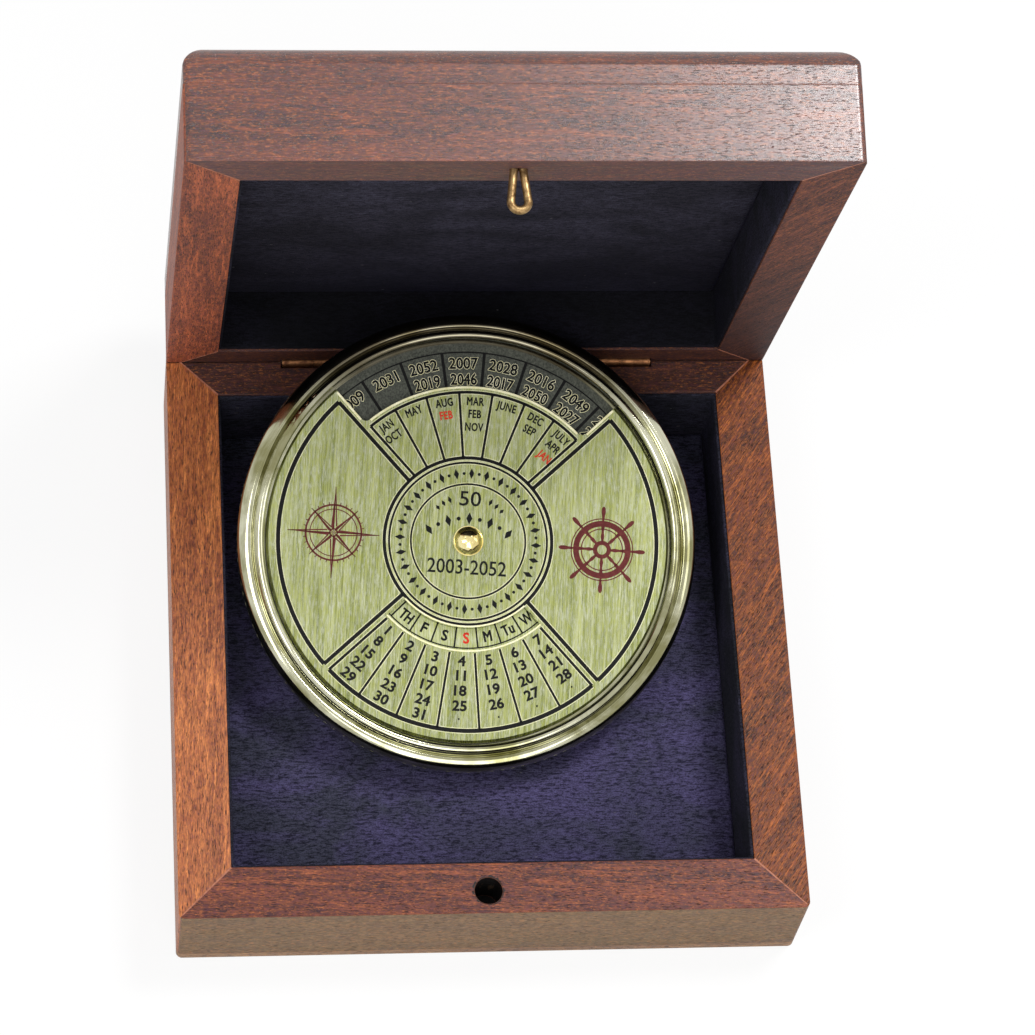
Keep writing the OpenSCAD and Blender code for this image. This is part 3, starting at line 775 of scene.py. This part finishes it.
def wall_band(name, node, turn, body, material, rolled, seed):
    """Velvet band round the four inner walls. rolled is the Z side, +1 or -1, where its
    edge shows at the rim."""
    low, high = local_box(node, turn)
    half = high.x
    foot = low.z if rolled > 0 else high.z
    height = abs(high.z - low.z)
    # Depth from the wall and height, from the wall's foot round to the wall's rim
    section = [(0, 0), (BAND_T, 0),
               *((BAND_T, height * k / BAND_ROWS) for k in range(1, BAND_ROWS)),
               (BAND_T, height - 0.35), (BAND_T * 0.85, height - 0.12),
               (BAND_T * 0.45, height), (0, height)]
    reach = half - BAND_CORNER
    corner = Vector((-BAND_CORNER_PULL, BAND_CORNER_PULL))
    # Points on the wall, and which way is inwards there
    stations = []
    for side in range(4):
        side_turn = Matrix.Rotation(side * QUARTER, 2)
        for i in range(BAND_COLUMNS + 1):
            x = -reach + 2 * reach * i / BAND_COLUMNS
            stations.append((side_turn @ Vector((x, -half)), side_turn @ Vector((0, 1))))
        stations.append((side_turn @ Vector((half, -half)), side_turn @ corner))
    bm = bmesh.new()
    rings = []
    for number, (base, inward) in enumerate(stations):
        ring = []
        for depth, up in section:
            wave = 0
            if depth == BAND_T and up > 0:
                wave = BAND_WAVE * noise.noise((number / 3.0, up / 3.5, seed))
            at = base + inward * (depth - max(0, wave))
            ring.append(bm.verts.new((at.x, at.y, foot + rolled * up)))
        rings.append(ring)
    loft(bm, rings, closed=True)
    band = finish_piece(name, bm, turn, body, material)
    smooth(band, 60)
    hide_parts(node)


def make_velvet():
    floor = velvet("velvet_floor", ALONG_X, VELVET_TONE, VELVET_NAP, 1)
    lid = velvet("velvet_lid", LID_ALONG_X, LID_TONE, LID_NAP, 2, deep=LID_SHADE)
    walls = velvet("velvet_walls", ALONG_X, WALL_TONE, WALL_NAP, 3, WALL_SHEEN)
    lid_walls = velvet("velvet_lid_walls", LID_ALONG_X, WALL_TONE, WALL_NAP, 4, WALL_SHEEN,
                       LID_SHADE)
    velvet_pad("base_velvet", "base_velvet_pad", UPRIGHT, "base", floor, 1, 1.5)
    velvet_pad("lid_velvet", "lid_velvet_pad", LID_TURN, "lid", lid, -1, 8.5)
    wall_band("base_wall_band", "base_wall_velvet", UPRIGHT, "base", walls, 1, 3.5)
    wall_band("lid_wall_band", "lid_wall_velvet", LID_TURN, "lid", lid_walls, -1, 6.5)
    board = card("grey_card")
    for node in ("base_card", "lid_card"):
        dress(node, board)


# ---- Drawing on a face ----

# Height of a capital in Blender's built-in font, for a size of 1
CAPITAL = 0.69
# Steps in each curve of a letter
LETTER_STEPS = 3
# Vertices closer than this become one
WELD = 1e-4
# Least divisor of a corner's move, so that sharp corners don't run out far
CORNER_LEAST = 0.6


def polar(radius, angle):
    return Vector((radius * cos(angle), radius * sin(angle)))


def thicken(flat, weight):
    """Moves the outline of a flat mesh out by weight."""
    moves = []
    for vertex in flat.verts:
        rims = [edge for edge in vertex.link_edges if edge.is_boundary]
        if len(rims) != 2:
            continue
        outs = []
        for edge in rims:
            out = (edge.other_vert(vertex).co - vertex.co).cross((0, 0, 1)).normalized()
            inside = edge.link_faces[0].calc_center_median() - vertex.co
            outs.append(-out if out.dot(inside) > 0 else out)
        middle = (outs[0] + outs[1]).normalized()
        moves.append((vertex, middle * weight / max(CORNER_LEAST, middle.dot(outs[0]))))
    for vertex, move in moves:
        vertex.co += move


class Drawing:
    """Flat shapes of one height, gathered in one mesh, in millimetres on a face. Its bars
    and arcs are wider by a given width than they say."""

    def __init__(self, height, wider=0.0):
        self.height = height
        self.wider = wider
        self.bm = bmesh.new()

    def shape(self, outline):
        """A prism on a simple outline."""
        low = [self.bm.verts.new((p[0], p[1], 0)) for p in outline]
        high = [self.bm.verts.new((p[0], p[1], self.height)) for p in outline]
        self.bm.faces.new(high)
        self.bm.faces.new(low[::-1])
        loft(self.bm, [low, high], closed=False)

    def bar(self, start, end, width, taper=1.0):
        """A straight bar. taper is its width at the end, as a share of that at the start."""
        start, end = Vector(start), Vector(end)
        side = (end - start).orthogonal().normalized() * (width + self.wider) / 2
        self.shape((start - side, end - side * taper, end + side * taper, start + side))

    def arc(self, radius, width, start=0.0, end=tau, centre=(0, 0)):
        """A band along an arc. A full turn makes a closed ring."""
        closed = abs(end - start) >= tau - 1e-6
        # Larger arcs take more steps
        count = max(6, round(abs(end - start) * (18 + 2.2 * radius) / 3))
        centre = Vector(centre)
        width += self.wider
        stations = []
        for i in range(count if closed else count + 1):
            angle = start + (end - start) * i / count
            station = []
            for r, z in ((radius - width / 2, 0), (radius + width / 2, 0),
                         (radius + width / 2, self.height), (radius - width / 2, self.height)):
                at = centre + polar(r, angle)
                station.append(self.bm.verts.new((at.x, at.y, z)))
            stations.append(station)
        loft(self.bm, stations, closed)
        if not closed:
            self.bm.faces.new(stations[0])
            self.bm.faces.new(stations[-1][::-1])

    def dot(self, at, radius, sides=10):
        self.shape([Vector(at) + polar(radius, tau * i / sides) for i in range(sides)])

    def diamond(self, at, angle, length, width):
        """A lozenge whose long axis lies at angle."""
        at = Vector(at)
        self.shape([at + polar(length / 2, angle), at + polar(width / 2, angle + QUARTER),
                    at - polar(length / 2, angle), at - polar(width / 2, angle + QUARTER)])

    def words(self, text, height, at, turn=0.0, stretch=1.0, weight=0.0, spacing=1.0):
        """Capitals of a given height, centred at a point. stretch widens or narrows them,
        and weight is what their outline moves out."""
        curve = bpy.data.curves.new("letters", "FONT")
        curve.body = text
        curve.resolution_u = LETTER_STEPS
        curve.fill_mode = "FRONT"
        curve.space_character = spacing
        holder = bpy.data.objects.new("letters", curve)
        bpy.context.scene.collection.objects.link(holder)
        graph = bpy.context.evaluated_depsgraph_get()
        mesh = bpy.data.meshes.new_from_object(holder.evaluated_get(graph))
        letters = bmesh.new()
        letters.from_mesh(mesh)
        bmesh.ops.remove_doubles(letters, verts=letters.verts, dist=WELD)
        across = [vertex.co.x for vertex in letters.verts]
        middle = ((min(across) + max(across)) / 2, CAPITAL / 2, 0)
        tall = height / CAPITAL
        letters.transform(Matrix.Diagonal((tall * stretch, tall, 1, 1))
                          @ Matrix.Translation(-Vector(middle)))
        thicken(letters, weight)
        letters.transform(Matrix.Translation((at[0], at[1], self.height))
                          @ Matrix.Rotation(turn, 4, "Z"))
        bmesh.ops.solidify(letters, geom=letters.faces[:], thickness=self.height)
        letters.to_mesh(mesh)
        letters.free()
        self.bm.from_mesh(mesh)
        bpy.data.objects.remove(holder)
        bpy.data.curves.remove(curve)
        bpy.data.meshes.remove(mesh)

    def lay(self, name, face, setting, body, material, slot):
        """Lays the drawing on a face of the calendar, turned clockwise by setting."""
        bmesh.ops.remove_doubles(self.bm, verts=self.bm.verts, dist=WELD)
        turn = (CALENDAR_TURN @ Matrix.Translation((0, 0, face * MM))
                @ Matrix.Rotation(-setting, 4, "Z"))
        finish_piece(name, self.bm, turn, body, material)


# ---- Mitre joints ----

MITRE_W = 0.3
MITRE_T = 0.015
# The filler's width at the outer corner, as a share, and how far it ends before it
MITRE_TAPER = 0.6
MITRE_SHORT = 0.5


def mitre_fillers(name, nodes, turn, body, face):
    """Thin lines of pale filler along the four mitres of a rim. nodes are its front rail
    and a side rail, and face is the Z side of the rim, +1 or -1."""
    boxes = [local_box(node, turn) for node in nodes]
    outer = max(high.x for _, high in boxes) - MITRE_SHORT
    low, high = boxes[0]
    inner = abs(high.y)
    rim = high.z if face > 0 else low.z
    ink = Drawing(MITRE_T * face)
    for x in (-1, 1):
        for y in (-1, 1):
            ink.bar((x * inner, y * inner), (x * outer, y * outer), MITRE_W, MITRE_TAPER)
    paste = enamel("wood_filler_" + body, srgb(176, 116, 92), srgb(120, 70, 56), 6)
    place = turn @ Matrix.Translation((0, 0, rim * MM))
    finish_piece(name, ink.bm, place, body, paste)


# ---- The dial's lines, letters and emblems ----

def plate_lines(height=INK_T, wider=0.0):
    """Frame, diagonals, hub circles and cell lines of the plate, each wider by a given width."""
    ink = Drawing(height, wider)
    for radius, width in HUB_CIRCLES:
        ink.arc(radius, width)
    for number in (1, 3, 5, 7):
        diagonal = number * EIGHTH
        along, aside = polar(1, diagonal), polar(1, diagonal + QUARTER)
        for side in (-1, 1):
            # The line on the side of the months or dates, and the one of the blank sector
            offset = aside * side * DIAGONAL_GAP
            blank = abs((along + offset).x) > abs((along + offset).y)
            above = along.y > 0
            reach = MONTH_R if above and not blank else FRAME_R
            foot = HUB_R if above or blank else DATE_R
            start = along * (foot ** 2 - DIAGONAL_GAP ** 2) ** 0.5 + offset
            end = along * (reach ** 2 - DIAGONAL_GAP ** 2) ** 0.5 + offset
            ink.bar(start, end, BLANK_EDGE_W if blank else CELL_EDGE_W)
    # The blank sectors on the right and left, the dates and the months
    for radius, width, middle in ((FRAME_R, FRAME_W, 0), (FRAME_R, FRAME_W, pi),
                                  (FRAME_R, FRAME_W, DOWN), (MONTH_R, MONTH_ARC_W, UP)):
        gap = DIAGONAL_GAP / radius
        ink.arc(radius, width, middle - EIGHTH + gap, middle + EIGHTH - gap)
    for k in range(-MIDDLE_COLUMN, MIDDLE_COLUMN):
        angle = (k + 0.5) * PITCH
        ink.bar(polar(HUB_R, UP + angle), polar(MONTH_R, UP + angle), MONTH_LINE_W)
        ink.bar(polar(DATE_R, DOWN + angle), polar(FRAME_R, DOWN + angle), DATE_LINE_W)
    return ink


def inked(name, black, red):
    """The ink for a name, red where a star marks it, and the name without its star."""
    return (red if name.startswith("*") else black), name.strip("*")


def month_letters(black, red):
    for k, cell in enumerate(MONTHS):
        angle = UP + (MIDDLE_COLUMN - k) * PITCH
        for row, marked in zip(MONTH_ROWS, cell):
            ink, name = inked(marked, black, red)
            ink.words(name, MONTH_H, polar(row, angle), angle - UP,
                      stretch=0.7, weight=0.055, spacing=1.1)


def date_numbers(ink):
    """The dates in columns, and a dot in each place after the last one."""
    for k in range(WEEK):
        angle = DOWN + (k - MIDDLE_COLUMN) * PITCH
        for week, row in enumerate(DATE_ROWS):
            date = WEEK * week + k + 1
            if date <= LAST_DATE:
                ink.words(str(date), DATE_H, polar(row, angle), angle - DOWN,
                          stretch=1.08, weight=0.085)
            else:
                ink.dot(polar(row - 0.2, angle), radius=0.17)


def hub_ornament(ink):
    """Border of lozenges and dots, the number of years and the first and last year."""
    middle = (HUB_LINE_R + HUB_INNER_R) / 2
    for k in range(CELLS):
        angle = k * PITCH
        ink.diamond(polar(middle, angle), angle, length=1.8, width=0.85)
        ink.dot(polar(middle, angle + PITCH / 2), radius=0.26)
    ink.words(str(LAST_YEAR - FIRST_YEAR + 1), 2.4, (0, 7.1), stretch=1.1, weight=0.03)
    # Lozenges that grow smaller away from the number of years
    for side in (-1, 1):
        for k in range(3):
            angle = UP + side * radians(27 + 9 * k)
            ink.diamond(polar(7.5, angle), angle, length=1.3 - 0.15 * k, width=0.62)
    ink.words(f"{FIRST_YEAR}-{LAST_YEAR}", 2.35, (0, -4.3), stretch=0.9, weight=0.03)
    # Arched ornament over the nut
    centre, radius, step = Vector((0, -7.0)), 10.8, radians(9.4)
    for k in range(-4, 5):
        angle = UP + k * step
        at = centre + polar(radius, angle)
        if k % 2 == 0:
            ink.diamond(at, angle, length=2.0, width=1.0)
        else:
            ink.dot(at, radius=0.34)


def compass_rose(ink):
    """Eight-pointed compass rose in a double ring with a scale."""
    centre = Vector((-EMBLEM_X, 0))
    ring, scale_end, points, scale_marks = 4.6, 5.1, 8, 32
    hairline = 0.14
    ink.arc(ring, 0.3, centre=centre)
    ink.arc(3.9, 0.16, centre=centre)
    for k in range(points):
        angle = UP + k * tau / points
        tip, waist = (7.6, 1.15) if k % 2 == 0 else (5.4, 0.95)
        point = centre + polar(tip, angle)
        # One half of each point is drawn in lines and the other is filled
        ink.bar(centre + polar(0.6, angle), point, hairline)
        ink.bar(centre + polar(waist, angle - tau / 16), point, 0.22, taper=0.5)
        ink.shape((centre, point, centre + polar(waist, angle + tau / 16)))
    for k in range(scale_marks):
        angle = k * tau / scale_marks
        if k % (scale_marks // points):
            ink.bar(centre + polar(ring, angle), centre + polar(scale_end, angle), hairline)
    ink.arc(0.62, 0.22, centre=centre)


def ships_wheel(ink):
    """Ship's steering wheel with eight turned spokes."""
    centre = Vector((EMBLEM_X, 0))
    spokes = 8
    for radius, width in ((4.35, 0.95), (3.45, 0.18), (5.15, 0.18), (1.15, 0.7)):
        ink.arc(radius, width, centre=centre)
    # Radius and width along a spoke and along its grip
    spoke = ((1.4, 0.32), (2.2, 0.62), (2.9, 0.36), (3.9, 0.62))
    grip = ((4.8, 0.34), (5.6, 0.46), (6.3, 0.72), (6.9, 0.62), (7.2, 0.25))
    for k in range(spokes):
        angle = k * tau / spokes
        for part in (spoke, grip):
            for (r1, w1), (r2, w2) in zip(part, part[1:]):
                ink.bar(centre + polar(r1, angle), centre + polar(r2, angle), w1, w2 / w1)


def window_trim():
    """Burnished edges of the two windows, whose pale brass is partly their burnished finish and
    partly a painted highlight of their bevels.
    """
    trim = Drawing(TRIM_T)
    corner = WINDOW_CORNER / YEAR_WINDOW_R
    trim.arc(YEAR_WINDOW_R - YEAR_TRIM_W / 2, YEAR_TRIM_W,
             UP - WINDOW_HALF + corner, UP + WINDOW_HALF - corner)
    for side in (-1, 1):
        angle = UP + side * WINDOW_HALF
        aside = polar(1, angle + side * QUARTER) * YEAR_TRIM_W / 2
        trim.bar(polar(SIDE_TRIM_R1, angle) + aside, polar(SIDE_TRIM_R2, angle) + aside,
                 YEAR_TRIM_W)
    for radius in (DAY_WINDOW_R2 + DAY_TRIM_W / 2, DAY_WINDOW_R1 - DAY_TRIM_W / 2):
        trim.arc(radius, DAY_TRIM_W, DOWN - WINDOW_HALF, DOWN + WINDOW_HALF)
    return trim


def disc_lines(ink):
    """Cell lines of the years and of the weekdays on the lower disc."""
    ink.arc(YEAR_BAND_R, YEAR_BAND_W)
    ink.arc(DAY_BAND_R, DAY_BAND_W)
    for k in range(CELLS):
        angle = UP + (k + 0.5) * PITCH
        ink.bar(polar(YEAR_CELL_R, angle), polar(YEAR_BAND_R, angle), YEAR_LINE_W)
        angle -= DAY_SHIFT
        ink.bar(polar(DAY_CELL_R, angle), polar(DAY_BAND_R, angle), DAY_LINE_W)


def day_letters(black, red):
    for k in range(CELLS):
        angle = DOWN + k * PITCH - DAY_SHIFT
        ink, name = inked(DAYS[k % WEEK], black, red)
        ink.words(name, DAY_H, polar(DAY_ROW, angle), angle - DOWN,
                  stretch=DAY_STRETCH[name], weight=0.08)


def years_by_cell():
    """Years of each of the 28 cells, clockwise from the upright line. A cell holds years
    whose first of March falls on the same weekday, one weekday less than the cell before."""
    thursday = 3
    cells = {cell % CELLS: list(years) for cell, years in KNOWN_YEARS.items()}
    used = {year for years in cells.values() for year in years}
    rest = [year for year in range(FIRST_YEAR, LAST_YEAR + 1) if year not in used]
    for cell in range(CELLS):
        if cell in cells:
            continue
        weekday = (thursday - cell) % WEEK
        fitting = [year for year in rest
                   if datetime.date(year, month=3, day=1).weekday() == weekday]
        cells[cell] = fitting[:YEARS_PER_CELL]
        rest = [year for year in rest if year not in cells[cell]]
    return cells


def year_numbers(ink, weight):
    """The years of each cell, narrower in the inner row."""
    for cell, years in years_by_cell().items():
        angle = UP - cell * PITCH
        for row, year in zip(YEAR_ROWS, years):
            ink.words(str(year), YEAR_H, polar(row, angle), angle - UP,
                      stretch=0.93 * row / YEAR_ROWS[0], weight=weight)


def make_dial():
    on_plate = (PLATE_FACE, PLATE_SETTING, "dial")
    on_disc = (DISC_FACE, 0, "calendar")
    black = enamel("black_enamel", srgb(5, 5, 5), srgb(16, 16, 14), 1)
    red = enamel("red_enamel", srgb(214, 52, 34), srgb(186, 70, 50), 2)
    maroon = enamel("maroon_enamel", srgb(92, 36, 36), srgb(116, 56, 52), 3)
    # Pale burnished brass; on the windows' trim its paleness is partly a painted highlight
    burnished = small_brass("burnished_edge", srgb(244, 240, 206), srgb(214, 208, 158), 0.2, 4)
    cut = small_brass("cut_edge", srgb(214, 212, 178), srgb(170, 172, 124), 0.25, 5)

    lines = plate_lines()
    month_red = Drawing(INK_T)
    month_letters(lines, month_red)
    date_numbers(lines)
    hub_ornament(lines)
    lines.lay("plate_print", *on_plate, black, "brushed_brass")
    month_red.lay("red_months", *on_plate, red, "brushed_brass")
    emblems = Drawing(INK_T)
    compass_rose(emblems)
    ships_wheel(emblems)
    emblems.lay("emblems", *on_plate, maroon, "brushed_brass")
    window_trim().lay("window_trim", *on_plate, burnished, "brushed_brass")
    plate_lines(INK_T / 2, CUT_W).lay("line_edges", *on_plate, cut, "brushed_brass")

    disc = Drawing(INK_T)
    disc_lines(disc)
    day_red = Drawing(INK_T)
    day_letters(disc, day_red)
    year_numbers(disc, YEAR_WEIGHT)
    disc.lay("disc_print", *on_disc, black, "dark_brass")
    border = Drawing(INK_T / 2)
    year_numbers(border, YEAR_BORDER)
    border.lay("year_borders", *on_disc, burnished, "dark_brass")
    day_red.lay("red_days", *on_disc, red, "dark_brass")


bpy.context.scene.view_settings.view_transform = "Standard"
make_camera()
make_world()
make_floor()
make_lamps()
dress_wood()
rim_bead(dress_brass())
make_velvet()
make_dial()
mitre_fillers("base_mitres", ("base_front_rail", "base_right_rail"), UPRIGHT, "base", 1)
mitre_fillers("lid_mitres", ("lid_front_rail", "lid_right_rail"), LID_TURN, "lid", -1)
